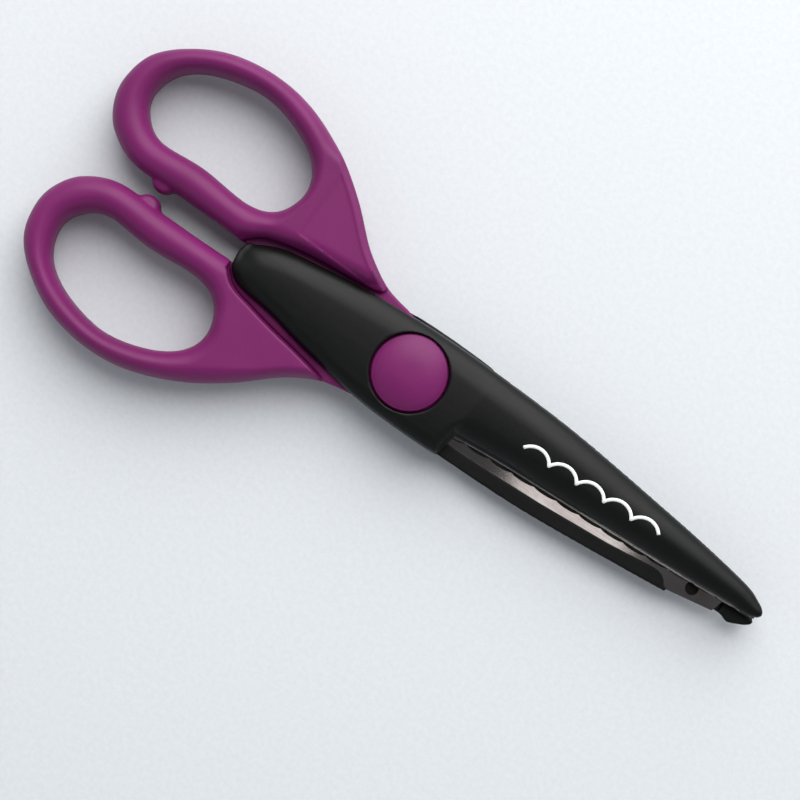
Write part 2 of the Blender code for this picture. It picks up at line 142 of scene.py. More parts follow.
# Pivot and fasteners.
PIVOT_BORE = 2.62
TANG_RADIUS = 8.2
TANG_POCKET = 8.7
CAP_RADIUS = 7.65
CAP_HOLE = 8.05
CAP_RISE = 1.95
CAP_POWER = 2.7
CAP_ROUND = 0.35
CAP_FOOT = 3.5
CAP_HOLLOW = [(6.3, CAP_FOOT), (6.3, 4.0), (4.9, 5.25), (0, 5.25)]
BOSS_RADIUS = 7.9
BOSS_TOP = 3.4
BRIDGE_RADIUS = 8.95
BRIDGE_SPREAD = (-4.0, 0.0)
BRIDGE_TOP = 2.6
RIVETS = {"tang": (15.1, 1.0), "tip": (71.2, 2.5)}
RIVET_HEAD = 1.4
RIVET_SHANK = 0.8
RIVET_DOME = 0.25
RIVET_TOP = 0.95
RIVET_END = 2.8
SCREWS = {"tail": (-33.0, -1.0), "middle": (-19.5, -1.5)}
SCREW_HEAD = 2.0
SCREW_SHANK = 1.0
SCREW_HEAD_Z = (0.6, 1.6)
SCREW_END = 4.2
SCREW_HOLE = (2.3, 1.9)         # radius and depth of the hole round a screw's head
CROSS = (0.26, 0.85, 0.55)      # half width, half length less that, and depth of the recess

# White scalloped line on the front cover.
PRINT_START = (26.67, 0.58)
PRINT_PITCH = 6.46
PRINT_RISE = 0.262              # climb of the line in one pitch
PRINT_SAGITTA = 1.93
PRINT_STROKE = 0.34             # half the line's width
PRINT_ARCS = 5
PRINT_STEPS = 18
PRINT_LIFT = (0.03, -0.05)      # the ink's faces over and under the cover's top

# Outlines in the front half: its ring lies on -y and its cover's spine on +y.
FINGER_HOLE = [
    (-73.8, -16.7), (-71.4, -22.6), (-65.0, -26.6), (-55.2, -28.5), (-46.0, -26.4),
    (-39.6, -22.3), (-37.5, -16.9), (-40.0, -11.2), (-45.8, -8.9), (-57.0, -9.6),
    (-67.0, -9.1), (-72.0, -12.0),
]
RING_AND_WEB = [
    (-80.3, -15.3), (-78.6, -22.0), (-73.2, -27.4), (-65.5, -31.5), (-56.0, -33.1),
    (-46.5, -32.0), (-36.5, -27.9), (-28.2, -22.3), (-20.6, -15.6), (-14.6, -11.9),
    (-11.8, -10.7), (-10.4, -8.4), (-11.5, -3.5), (-19.0, 0.5), (-30.0, 1.0), (-37.0, -1.6),
    (-44.5, -2.25), (-57.0, -2.4), (-68.7, -2.3), (-75.6, -5.3), (-79.2, -9.9),
]
TONGUE_OUTER = [(-42.0, -1.0), (-40.4, 2.4), (-33.0, 6.2), (-22.0, 7.8), (-6.0, 9.0), (13.3, 9.0)]
TONGUE_INNER = [
    (13.0, -5.4), (11.8, -8.8), (0.0, -9.4), (-5.8, -9.75), (-7.5, -10.2), (-10.0, -10.6),
    (-13.0, -11.25),
]
TONGUE_ROOT = [
    (-15.0, -12.0), (-17.0, -12.7), (-18.5, -9.2), (-21.0, -7.6), (-30.0, -6.0), (-38.0, -4.3),
    (-41.3, -1.6),
]
TONGUE_POCKET = [
    (-50.0, -20.0), (-5.6, -20.0), (-5.6, -9.9), (0.0, -9.7), (12.3, -9.2), (13.6, -5.3),
    (13.6, 9.3), (-5.6, 9.3), (-5.6, 20.0), (-50.0, 20.0),
]
COVER_SPINE = [
    (-41.75, 0.2), (-40.9, 3.2), (-37.5, 5.6), (-30.0, 7.3), (-12.0, 9.3), (2.0, 10.05),
    (14.0, 10.1), (32.0, 9.6), (50.0, 8.1), (66.0, 6.35), (79.0, 4.4), (83.0, 3.0), (84.7, 1.9),
    (85.05, 1.2),
]
COVER_TAIL_INNER = [
    (-41.75, 0.2), (-41.2, -2.9), (-39.4, -4.75), (-36.5, -5.65), (-29.0, -6.6), (-23.0, -7.8),
    (-17.0, -8.8), (-6.0, -10.2), (3.0, -10.55), (12.6, -10.4), (13.7, -9.8),
]
COVER_BLADE_INNER = [(14.7, -5.1), (26.0, -4.05), (46.0, -2.95), (66.0, -1.8), (79.6, -0.75)]
COVER_TIP_INNER = [(80.2, -0.95), (83.0, -0.65), (84.6, 0.1), (85.0, 0.6)]
CROWN = [
    (-43.0, 3.3), (-39.0, 4.2), (-33.0, 4.85), (-24.0, 5.0), (26.0, 5.0), (60.0, 4.3), (86.0, 3.3),
]
BARED_TIP = [(67.2, 5.35), (77.6, 3.45), (79.2, 3.5), (81.5, 4.6), (81.5, 9.0), (67.2, 9.0)]
CUTTING_EDGE = [
    (13.0, -5.9), (30.0, -4.85), (45.0, -4.0), (57.0, -3.35), (66.0, -2.5), (74.0, -1.8),
    (85.0, -0.6),
]
SCALLOP_LIMIT = [
    (13.0, 4.5), (30.0, 3.6), (45.0, 2.7), (57.0, 1.7), (66.0, 0.5), (71.0, 0.1), (75.0, 0.0),
    (85.0, -0.2),
]
STEEL_SPINE = [
    (13.0, 7.1), (20.0, 7.0), (36.0, 6.2), (52.0, 4.85), (60.0, 3.8), (62.4, 3.5), (63.7, 3.5),
    (64.8, 3.85), (65.6, 4.5), (66.2, 5.25), (66.8, 5.6), (77.2, 3.7), (77.5, 1.15), (85.0, 0.45),
]
TAIL_CLEARANCE = [
    (-42.9, 9.0), (-42.5, -1.4), (-41.1, -3.95), (-38.0, -5.95), (-30.0, -7.8), (-20.0, -8.95),
    (-14.0, -9.9), (-10.0, -13.0), (16.0, -13.5), (16.0, 12.0),
]
COVER_SEAT_OUTLINE = [
    (-42.05, 9.0), (-41.9, -2.6), (-41.1, -4.4), (-39.4, -6.0), (-37.0, -6.95), (-34.0, -7.55),
    (-30.0, -8.4), (-26.0, -9.1), (-22.0, -9.7), (-18.0, -10.4), (-15.2, -11.0), (-12.0, -12.0),
    (-9.0, -14.0), (16.0, -14.0), (16.0, 12.0),
]


# ---------------------------------------------------------------- curves

def spline(points, steps, closed=False):
    """Points along a smooth (Catmull-Rom) curve through the given points."""
    count = len(points)

    def control(i):
        return np.array(points[i % count if closed else min(max(i, 0), count - 1)], float)

    curve = []
    for i in range(count if closed else count - 1):
        before, start, end, after = (control(i + k) for k in (-1, 0, 1, 2))
        for k in range(steps):
            t = k / steps
            pull = (end - before) * t + (2 * before - 5 * start + 4 * end - after) * t ** 2
            pull += (3 * start - before - 3 * end + after) * t ** 3
            curve.append(tuple(start + pull / 2))
    if not closed:
        curve.append(tuple(points[-1]))
    return curve


def along(line, x):
    """Second coordinate of a polyline at x."""
    return np.interp(x, [p[0] for p in line], [p[1] for p in line])


def cover_inner():
    """The cover's edge from its tail past the pivot and along the steel to the tip."""
    return spline(COVER_TAIL_INNER, 8) + spline(COVER_BLADE_INNER, 8) + COVER_TIP_INNER


def cover_outline():
    return spline(COVER_SPINE, 8) + cover_inner()[::-1][:-1]


# ---------------------------------------------------------------- distance fields

class Field:
    """A block of sample points, with distances to outlines and rounded plates between heights."""

    def __init__(self, low, high, cell):
        self.low, self.cell = np.array(low, np.float32), cell
        axes = [np.arange(a, b + cell, cell, dtype=np.float32) for a, b in zip(low, high)]
        self.x, self.y = np.meshgrid(axes[0], axes[1], indexing="ij")
        self.z = axes[2][None, None, :]

    def reach(self, line):
        """Distance to an open line in the plane."""
        best = np.full(self.x.shape, 1e9, np.float32)
        for (ax, ay), (bx, by) in zip(line, line[1:]):
            dx, dy = bx - ax, by - ay
            length = dx * dx + dy * dy
            if length == 0:
                continue
            px, py = self.x - ax, self.y - ay
            share = np.clip((px * dx + py * dy) / length, 0, 1)
            best = np.minimum(best, (px - share * dx) ** 2 + (py - share * dy) ** 2)
        return np.sqrt(best)

    def distance(self, outline):
        """Distance to a closed outline in the plane, positive inside."""
        inside = np.zeros(self.x.shape, bool)
        for (ax, ay), (bx, by) in zip(outline, outline[1:] + outline[:1]):
            if ay != by:
                crosses = (ay > self.y) != (by > self.y)
                inside ^= crosses & (self.x - ax < (bx - ax) * (self.y - ay) / (by - ay))
        return np.where(inside, 1, -1) * self.reach(outline + outline[:1])

    def under(self, top):
        """The space under a height given over the plane, with true distances near it."""
        steep = np.hypot(*np.gradient(top, self.cell))
        return (self.z - top[:, :, None]) / np.hypot(1, np.minimum(steep, 4))[:, :, None]

    def plate(self, inside, low, high, width=0.2, height=None):
        """A plate over a plane region, its edges rounded over a width and a height."""
        height = width if height is None else height
        width = np.broadcast_to(np.asarray(width, np.float32), inside.shape)
        across = ((width - inside) / width)[:, :, None]
        middle, half = (low + high) / 2, (high - low) / 2
        up = (np.abs(self.z - middle) - half + height) / height
        outer = np.hypot(np.maximum(across, 0), np.maximum(up, 0))
        inner = np.minimum(np.maximum(across, up), 0)
        return (outer + inner - 1) * np.minimum(width, height)[:, :, None]

    def disc(self, radius, centre=(0, 0)):
        return radius - np.hypot(self.x - centre[0], self.y - centre[1])


def join(a, b, fillet):
    return np.minimum(a, b) - np.maximum(fillet - np.abs(a - b), 0) ** 2 / (4 * fillet)


def cut(a, tool, fillet):
    b = -tool
    return np.maximum(a, b) + np.maximum(fillet - np.abs(a - b), 0) ** 2 / (4 * fillet)


def surface_net(field, low, cell):
    """Vertices and quads of the zero surface of a field that is negative inside."""
    solid = field < 0
    corners = [(i, j, k) for i in (0, 1) for j in (0, 1) for k in (0, 1)]
    shape = tuple(n - 1 for n in field.shape)

    def corner(array, offset):
        return array[tuple(slice(o, o + n) for o, n in zip(offset, shape))]

    count = sum(corner(solid, c).astype(np.int8) for c in corners)
    cells = np.argwhere((count > 0) & (count < 8))
    values = np.stack([field[tuple((cells + c).T)] for c in corners], axis=1)
    total = np.zeros((len(cells), 3))
    crossings = np.zeros(len(cells))
    for a, ca in enumerate(corners):
        for b, cb in enumerate(corners):
            if b <= a or sum(abs(p - q) for p, q in zip(ca, cb)) != 1:
                continue
            crossed = (values[:, a] < 0) != (values[:, b] < 0)
            step = values[:, a] - values[:, b]
            share = np.where(crossed, values[:, a] / np.where(step == 0, 1, step), 0)
            point = np.array(ca) + share[:, None] * (np.array(cb) - np.array(ca))
            total += np.where(crossed[:, None], point, 0)
            crossings += crossed
    vertices = (cells + total / crossings[:, None]) * cell + low
    index = np.full(shape, -1, np.int32)
    index[tuple(cells.T)] = np.arange(len(cells))
    quads = []
    for axis in range(3):
        u, v = (axis + 1) % 3, (axis + 2) % 3
        ahead = [slice(None)] * 3
        behind = [slice(None)] * 3
        ahead[axis], behind[axis] = slice(1, None), slice(None, -1)
        changed = solid[tuple(ahead)] != solid[tuple(behind)]
        edges = np.argwhere(changed)
        edges = edges[(edges[:, u] > 0) & (edges[:, v] > 0)]
        edges = edges[(edges[:, u] < shape[u]) & (edges[:, v] < shape[v])]
        ring = []
        for du, dv in ((-1, -1), (0, -1), (0, 0), (-1, 0)):
            at = edges.copy()
            at[:, u] += du
            at[:, v] += dv
            ring.append(index[tuple(at.T)])
        quad = np.stack(ring, axis=1)
        flip = ~solid[tuple(edges.T)]
        quad[flip] = quad[flip][:, ::-1]
        quads.append(quad)
    return vertices, np.concatenate(quads)


# ---------------------------------------------------------------- objects

def place(obj, half):
    """Moves a mesh from a half's frame in millimetres into the row frame."""
    turn = Matrix.Rotation(math.pi, 4, "X") if half == "rear" else Matrix.Identity(4)
    obj.data.transform(Matrix.Translation(MID) @ turn @ Matrix.Scale(MM, 4))
    spots = np.empty(3 * len(obj.data.vertices), np.float32)
    obj.data.vertices.foreach_get("co", spots)
    spots = np.clip(spots.reshape(-1, 3), *[np.array(corner) for corner in cad_box])
    obj.data.vertices.foreach_set("co", spots.ravel())
    return obj


def add_piece(name, mesh, half, body, material, nodes=(), sharp=None):
    """Links a mesh as a visible piece that rides on a body and stands for CAD nodes."""
    mesh.shade_smooth()
    if sharp:
        mesh.set_sharp_from_angle(angle=math.radians(sharp))
    for entry in material if isinstance(material, (list, tuple)) else [material]:
        mesh.materials.append(entry)
    obj = bpy.data.objects.new(name, mesh)
    bpy.context.scene.collection.objects.link(obj)
    place(obj, half)
    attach(obj, body)
    if nodes:
        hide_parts(*nodes)
    return obj


def array_mesh(name, vertices, faces):
    """A mesh from arrays of points and quads."""
    mesh = bpy.data.meshes.new(name)
    mesh.vertices.add(len(vertices))
    mesh.vertices.foreach_set("co", np.asarray(vertices, np.float32).ravel())
    mesh.loops.add(faces.size)
    mesh.loops.foreach_set("vertex_index", faces.ravel().astype(np.int32))
    mesh.polygons.add(len(faces))
    mesh.polygons.foreach_set("loop_start", np.arange(0, faces.size, 4, dtype=np.int32))
    mesh.update(calc_edges=True)
    return mesh


def relaxed(vertices, quads, rounds=3):
    """Evens out the steps that a grid leaves, moving points less than half a cell."""
    ends = np.concatenate([quads[:, [k, (k + 1) % 4]] for k in range(4)])
    ends = np.concatenate([ends, ends[:, ::-1]])
    count = np.bincount(ends[:, 0], minlength=len(vertices))[:, None]
    for _ in range(rounds):
        near = vertices[ends[:, 1]]
        total = [np.bincount(ends[:, 0], near[:, k], len(vertices)) for k in range(3)]
        vertices = vertices + 0.5 * (np.stack(total, axis=1) / count - vertices)
    return vertices


def net_mesh(name, block, field):
    vertices, quads = surface_net(field, block.low, block.cell)
    return array_mesh(name, relaxed(vertices, quads), quads)


def bmesh_mesh(name, bm):
    bmesh.ops.recalc_face_normals(bm, faces=bm.faces)
    mesh = bpy.data.meshes.new(name)
    bm.to_mesh(mesh)
    bm.free()
    return mesh


def turned(profile, segments=96):
    """A solid of revolution about an upright axis from a closed (radius, height) profile."""
    bm = bmesh.new()
    verts = [bm.verts.new((radius, 0.0, z)) for radius, z in profile]
    edges = [bm.edges.new(pair) for pair in zip(verts, verts[1:] + verts[:1])]
    bmesh.ops.spin(bm, geom=verts + edges, cent=(0, 0, 0), axis=(0, 0, 1),
                   angle=2 * math.pi, steps=segments, use_merge=True)
    bmesh.ops.remove_doubles(bm, verts=bm.verts, dist=MERGE)
    bmesh.ops.dissolve_degenerate(bm, edges=bm.edges, dist=MERGE)
    bmesh.ops.delete(bm, geom=[edge for edge in bm.edges if edge.is_wire], context="EDGES")
    return bm


# ---------------------------------------------------------------- materials

class Nodes:
    """A material's node tree with short calls for the nodes that the finishes share."""

    def __init__(self, name):
        self.material = bpy.data.materials.new(name)
        self.material.use_nodes = True
        self.tree = self.material.node_tree
        self.shader = self.tree.nodes["Principled BSDF"]
        self.place = self.tree.nodes.new("ShaderNodeTexCoord").outputs["Object"]

    def link(self, source, target):
        self.tree.links.new(source, target)

    def add(self, kind, **values):
        node = self.tree.nodes.new(kind)
        for key, value in values.items():
            if hasattr(node, key):
                setattr(node, key, value)
            else:
                node.inputs[key.replace("_", " ").capitalize()].default_value = value
        return node

    def stretched(self, scale):
        node = self.add("ShaderNodeMapping")
        node.inputs["Scale"].default_value = scale
        self.link(self.place, node.inputs["Vector"])
        return node.outputs["Vector"]

    def noise(self, scale, detail=4.0, roughness=0.55, vector=None):
        node = self.add("ShaderNodeTexNoise")
        node.inputs["Scale"].default_value = scale
        node.inputs["Detail"].default_value = detail
        node.inputs["Roughness"].default_value = roughness
        self.link(vector or self.place, node.inputs["Vector"])
        return node.outputs["Fac"]

    def ramp(self, value, stops):
        """Colours at positions, as a list of (position, colour or grey)."""
        node = self.add("ShaderNodeValToRGB")
        elements = node.color_ramp.elements
        while len(elements) < len(stops):
            elements.new(0.5)
        for element, (position, colour) in zip(elements, stops):
            element.position = position
            colour = (colour, colour, colour) if isinstance(colour, float) else colour
            element.color = (*colour, 1.0)
        self.link(value, node.inputs["Fac"])
        return node.outputs["Color"]

    def mix(self, share, a, b, kind="MIX"):
        node = self.add("ShaderNodeMix", data_type="RGBA", blend_type=kind)
        for value, socket in ((share, 0), (a, 6), (b, 7)):
            if isinstance(value, bpy.types.NodeSocket):
                self.link(value, node.inputs[socket])
            elif socket == 0:
                node.inputs[0].default_value = value
            else:
                node.inputs[socket].default_value = (*value, 1.0)
        return node.outputs[2]

    def bump(self, height, strength, distance, below=None):
        node = self.add("ShaderNodeBump")
        node.inputs["Strength"].default_value = strength
        node.inputs["Distance"].default_value = distance
        self.link(height, node.inputs["Height"])
        if below:
            self.link(below, node.inputs["Normal"])
        return node.outputs["Normal"]

    def set(self, **sockets):
        for key, value in sockets.items():
            socket = self.shader.inputs[key.replace("_", " ")]
            if isinstance(value, bpy.types.NodeSocket):
                self.link(value, socket)
            else:
                socket.default_value = (*value, 1.0) if isinstance(value, tuple) else value


def purple_plastic():
    nodes = Nodes("purple_plastic")
    clouds = nodes.noise(55.0, detail=5.0)
    colour = nodes.ramp(clouds, [(0.3, (0.130, 0.0085, 0.082)), (0.7, (0.164, 0.0110, 0.106))])
    grain = nodes.noise(5200.0, detail=2.0)
    colour = nodes.mix(0.22, colour, nodes.ramp(grain, [(0.3, (0.10, 0.006, 0.065)),
                                                        (0.75, (0.22, 0.02, 0.15))]))
    smears = nodes.noise(140.0, detail=6.0, roughness=0.7)
    relief = nodes.bump(grain, 0.35, 0.00003)
    relief = nodes.bump(nodes.noise(700.0, detail=3.0), 0.12, 0.00012, below=relief)
    nodes.set(Base_Color=colour, Normal=relief, IOR=1.49, Specular_IOR_Level=0.24,
              Roughness=nodes.ramp(smears, [(0.3, 0.42), (0.7, 0.52)]))
    return nodes.material


def black_plastic():
    nodes = Nodes("black_plastic")
    clouds = nodes.noise(70.0, detail=5.0)
    colour = nodes.ramp(clouds, [(0.3, (0.0010, 0.0014, 0.0011)),
                                 (0.7, (0.0020, 0.0025, 0.0021))])
    sparks = nodes.noise(4300.0, detail=3.0, roughness=0.7)
    colour = nodes.mix(0.35, colour, nodes.ramp(sparks, [(0.35, (0.0008, 0.0010, 0.0010)),
                                                         (0.8, (0.007, 0.008, 0.008))]))
    scuffs = nodes.noise(60.0, detail=8.0, roughness=0.75, vector=nodes.stretched((1, 9, 9)))
    relief = nodes.bump(sparks, 0.5, 0.00004)
    nodes.set(Base_Color=colour, Normal=relief, IOR=1.5, Specular_IOR_Level=0.2,
              Roughness=nodes.ramp(scuffs, [(0.3, 0.36), (0.7, 0.48)]))
    return nodes.material


def steel(name, light, dark, rough, streak=(60.0, 2600.0, 2600.0)):
    """Rolled or ground steel with fine streaks, smudges and a trace of tarnish."""
    nodes = Nodes(name)
    streaks = nodes.noise(1.0, detail=5.0, roughness=0.65, vector=nodes.stretched(streak))
    smudges = nodes.noise(130.0, detail=6.0, roughness=0.65)
    colour = nodes.ramp(smudges, [(0.32, dark), (0.62, light)])
    shade = nodes.ramp(streaks, [(0.25, 0.72), (0.75, 1.0)])
    colour = nodes.mix(1.0, colour, shade, kind="MULTIPLY")
    relief = nodes.bump(streaks, 0.15, 0.00001)
    nodes.set(Base_Color=colour, Metallic=1.0, Normal=relief,
              Roughness=nodes.ramp(smudges, [(0.3, rough * 1.5), (0.7, rough)]))
    return nodes.material


def nylon():
    nodes = Nodes("white_nylon")
    clouds = nodes.noise(400.0)
    nodes.set(Base_Color=nodes.ramp(clouds, [(0.3, (0.62, 0.61, 0.56)),
                                             (0.7, (0.72, 0.71, 0.67))]),
              Normal=nodes.bump(nodes.noise(2500.0), 0.2, 0.00003),
              Roughness=nodes.ramp(clouds, [(0.3, 0.42), (0.7, 0.55)]))
    return nodes.material


def white_print():
    """Screen-printed white ink, slightly thin and speckled."""
    nodes = Nodes("white_print")
    specks = nodes.noise(6500.0, detail=3.0)
    nodes.set(Base_Color=nodes.ramp(specks, [(0.25, (0.62, 0.64, 0.64)),
                                             (0.5, (0.86, 0.87, 0.87))]),
              Normal=nodes.bump(specks, 0.3, 0.00002), Roughness=0.55)
    return nodes.material


def paper():
    nodes = Nodes("pale_floor")
    fibres = nodes.noise(900.0, detail=8.0, roughness=0.7)
    nodes.set(Base_Color=nodes.ramp(fibres, [(0.35, (0.60, 0.625, 0.655)),
                                             (0.65, (0.645, 0.67, 0.70))]),
              Normal=nodes.bump(fibres, 0.25, 0.0001), Roughness=0.9)
    return nodes.material


# ---------------------------------------------------------------- mouldings

def fade(value, start, end):
    """Smooth change from 0 to 1 as a value goes from start to end."""
    share = np.clip((value - start) / (end - start), 0, 1)
    return share * share * (3 - 2 * share)


def bow(share):
    """Drop of a rounded edge: 1 at the edge, 0 where the round starts."""
    return 1 - np.sqrt(1 - np.clip(1 - share, 0, 1) ** 2)


def ring_body(block, outer, hole):
    """Ring and web with rounded edges, flat behind the web; takes distances to the outlines."""
    x, y, z = block.x, block.y, block.z
    width = outer + hole
    rounding = RING_ROUND - WEB_THINNING * fade(width, 8, 16)
    round_over = np.clip(np.minimum(width / 2, rounding), LEAST_ROUND, None)
    back = fade(x, -40, -33) * fade(-y, 8, 10)
    below = z < 0
    widths = np.where(below, (round_over * (1 - back) + BACK_ROUND * back)[:, :, None],
                      round_over[:, :, None])
    heights = np.where(below, (ROUND_HEIGHT - BACK_SINK * back)[:, :, None], ROUND_HEIGHT)
    inside = np.minimum(outer, hole)[:, :, None]
    across = (widths - inside) / widths
    up = (np.abs(z) - HANDLE_TOP + heights) / heights
    body = np.hypot(np.maximum(across, 0), np.maximum(up, 0))
    body = (body + np.minimum(np.maximum(across, up), 0) - 1) * np.minimum(widths, heights)
    ridge = CREASE_RIDGE * np.exp(-((outer - CREASE - 0.2) / 0.3) ** 2)
    crease = HANDLE_TOP - 0.15 + ridge - CREASE_SLOPE * np.maximum(CREASE - outer, 0)
    crease = crease + 3 * (1 - back) - WEB_END_SLOPE * np.maximum(x - WEB_END, 0)
    return np.maximum(body, (-z - crease[:, :, None]) / np.hypot(1, CREASE_SLOPE))


def stop_bump(block):
    """Rounded bump inside the ring that stops the closing halves."""
    x, y, z = block.x, block.y, block.z
    peg = (y - STOP_ROOT[1]) / (STOP_FACE_Y - STOP_ROOT[1])
    wide = (STOP_HALF[0] - 0.9 * peg)[:, :, None]
    reach = np.maximum(np.abs(x - STOP_ROOT[0])[:, :, None] - wide + 1.5, 0)
    stop = np.hypot(reach, np.maximum(np.abs(z) - STOP_HALF[1] + 1.9, 0) * 0.8) - 1.5
    stop = cut(stop, (STOP_FACE_Y - y)[:, :, None] + 0 * z, 1.6)
    return np.maximum(stop, (STOP_ROOT[1] - STOP_DEPTH - y)[:, :, None])


def handle_mesh():
    """Finger ring with a round section, web, cover seat and tongue."""
    block = Field((-81.2, -34.0, -6.05), (14.4, 10.4, 6.0), HANDLE_CELL)
    x, y, z = block.x, block.y, block.z
    outer = block.distance(spline(RING_AND_WEB, 8, closed=True))
    hole = -block.distance(spline(FINGER_HOLE, 8, closed=True))
    body = join(ring_body(block, outer, hole), stop_bump(block), 0.6)

    tongue = block.distance(spline(TONGUE_OUTER, 6) + TONGUE_INNER + TONGUE_ROOT)
    body = join(body, block.plate(tongue, WEB_FLOOR - 1.0, UNDER_COVER, 0.15), 0.4)
    body = np.minimum(body, block.plate(bridge(block, BRIDGE_RADIUS), 1.0, BRIDGE_TOP, 0.15))
    seat = block.distance(spline(COVER_SEAT_OUTLINE, 6))[:, :, None]
    cover = block.distance(cover_outline())[:, :, None]
    floor = UNDER_COVER + 0.15 * np.clip(seat - 1.2, -1.2, 0) - 0.1 * (1 - fade(cover, -0.2, 0.1))
    floor = floor - SEAM_DEPTH * np.exp(-((seat - SEAM_PLACE) / SEAM_WIDTH) ** 2)
    raised = fade(bridge(block, BRIDGE_RADIUS), -0.1, 0.1)[:, :, None]
    floor = floor + (BRIDGE_TOP + 0.15 - floor) * raised
    body = cut(body, -np.minimum(seat, z - floor), 0.3)
    beyond = np.minimum(np.minimum(y + 2.25, 0.1 - cover[:, :, 0]), x + 42.4)
    body = cut(body, -beyond[:, :, None], 0.3)

    tail = block.distance(spline(TAIL_CLEARANCE, 6))
    fillet = WALL_ROUND[0] + WALL_ROUND[1] * fade(-z, 0.6, 3.0)
    body = cut(body, block.plate(tail, BELOW, WEB_FLOOR), fillet)
    wedge = np.minimum(8.0 - np.abs(y - 0.6), x + 2.0)
    pocket = np.maximum(block.disc(TANG_POCKET), wedge)
    body = cut(body, block.plate(pocket, BELOW, COVER_RECESS), 0.2)
    body = np.minimum(body, block.plate(block.disc(BOSS_RADIUS), COVER_RECESS, BOSS_TOP, 0.15))
    body = cut(body, block.plate(block.disc(PIVOT_BORE), BELOW, ABOVE), 0.15)
    for centre in SCREWS.values():
        head = block.disc(SCREW_HOLE[0], centre)
        body = cut(body, block.plate(head, BELOW, SCREW_HOLE[1]), 0.15)
    return net_mesh("handle", block, body)


def bridge(block, radius):
    """Raised part of the tongue that carries the pivot's boss over the tang's pocket."""
    return np.maximum(block.disc(radius), block.disc(radius, BRIDGE_SPREAD))


def cover_shape(block):
    """Height of the cover's crowned top over the plane."""
    inner, spine = cover_inner(), spline(COVER_SPINE, 8)
    x = block.x
    high, low = along(spine, x), along(inner, x)
    half = np.maximum((high - low) / 2, 0.6)
    size = np.clip(half / 5, 0.25, 1)
    ledge = fade(x, 13, 14) * (0.75 - 0.4 * fade(x, 28, 34)) * size
    spine_width = np.minimum(half, SPINE_WIDTH)
    steep = SPINE_DROP + TAIL_DROP * fade(-x, 16, 32)
    inner_width = np.minimum(half, 3.0 + 1.5 * fade(x, 12, 16))
    drop = steep * size * bow(block.reach(spine) / spine_width)
    drop = drop + INNER_DROP * size * bow((block.reach(inner) - ledge) / inner_width)
    drop = drop + BOW_DROP * size * np.clip((block.y - (high + low) / 2) / half, -1, 1) ** 2
    top = along(spline(CROWN, 8), x) - drop
    soft = top
    for _ in range(round(1.0 / block.cell ** 2)):
        padded = np.pad(soft, 1, mode="edge")
        soft = (padded[2:, 1:-1] + padded[:-2, 1:-1] + padded[1:-1, 2:] + padded[1:-1, :-2]) / 4
    tail = fade(-x, 30, 37)
    return top + (soft - top) * tail


def cover_mesh(side):
    """Crowned cover with a lip round the steel; the rear one (side -1) bares the steel's tip."""
    block = Field((-42.6, -11.4, 0.2), (86.4, 11.0, 6.0), COVER_CELL)
    body = block.under(cover_shape(block))
    walls = block.plate(block.distance(cover_outline()), LIP_FACE, ABOVE, 0.25)
    body = cut(body, -walls, RIM_FILLET)
    tongue = block.distance(TONGUE_POCKET)
    body = cut(body, block.plate(tongue, COVER_BELOW, UNDER_COVER + 0.1), 0.1)
    raised = bridge(block, BRIDGE_RADIUS + 0.15)
    body = cut(body, block.plate(raised, COVER_BELOW, BRIDGE_TOP + 0.1), 0.1)
    recess = [(13.0, -6.4), (14.9, -6.4), (14.9, -14.0), (92.0, -14.0), (92.0, 0.8)]
    if side < 0:
        recess += [(78.2, 0.9), (78.1, 3.0), (78.3, 12.0), (67.0, 12.0), (67.0, 5.5)]
        recess += [point for point in STEEL_SPINE if point[0] < 66.7][::-1]
    else:
        recess += [(78.2, 0.9), (78.1, 2.8)]
        recess += [point for point in STEEL_SPINE if point[0] < 77.3][::-1]
    body = cut(body, block.plate(block.distance(recess), COVER_BELOW, COVER_RECESS), 0.15)
    body = cut(body, block.plate(block.disc(CAP_HOLE), 0.0, ABOVE), 0.25)
    if side < 0:
        body = cut(body, block.plate(block.distance(BARED_TIP), COVER_BELOW, ABOVE), 0.3)
    return net_mesh("cover", block, body)


def scallop(radius):
    arc = (SCALLOP_PITCH ** 2 / 4 + SCALLOP_DEPTH ** 2) / (2 * SCALLOP_DEPTH)
    offset = (radius - FIRST_CUSP) % SCALLOP_PITCH - SCALLOP_PITCH / 2
    return np.sqrt(arc ** 2 - offset ** 2) - arc + SCALLOP_DEPTH / 2


def on_arc(line, radius):
    """Where a polyline crosses the circle of that radius about the pivot."""
    y = np.zeros_like(radius)
    for _ in range(15):
        y = along(line, np.sqrt(np.maximum(radius ** 2 - y ** 2, 0)))
    return y


